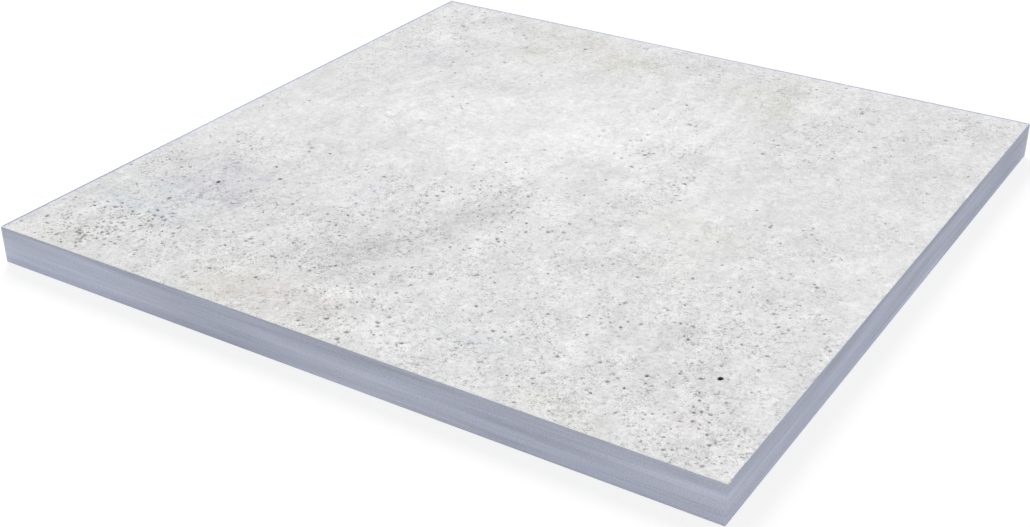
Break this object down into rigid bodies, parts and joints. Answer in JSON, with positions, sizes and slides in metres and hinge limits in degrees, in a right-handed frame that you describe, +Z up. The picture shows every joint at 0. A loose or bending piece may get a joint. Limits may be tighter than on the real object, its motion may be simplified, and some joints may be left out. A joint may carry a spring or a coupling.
{
  "type": "paving slab",
  "caption": "Square concrete paving slab with sharp, barely eased arrises and small air voids in its pale wearing face.",
  "frame": {"origin": "centre of the bedding face, which lies on the floor", "axes": "+Z up, out of the wearing face; X and Y along the slab's edges, with -Y and +X the two sides that the picture shows"},
  "size_m": [0.6, 0.6, 0.03],
  "materials": {
    "concrete": "matte"
  },
  "bodies": {
    "root": {"slab": "concrete"}
  },
  "joints": []
}
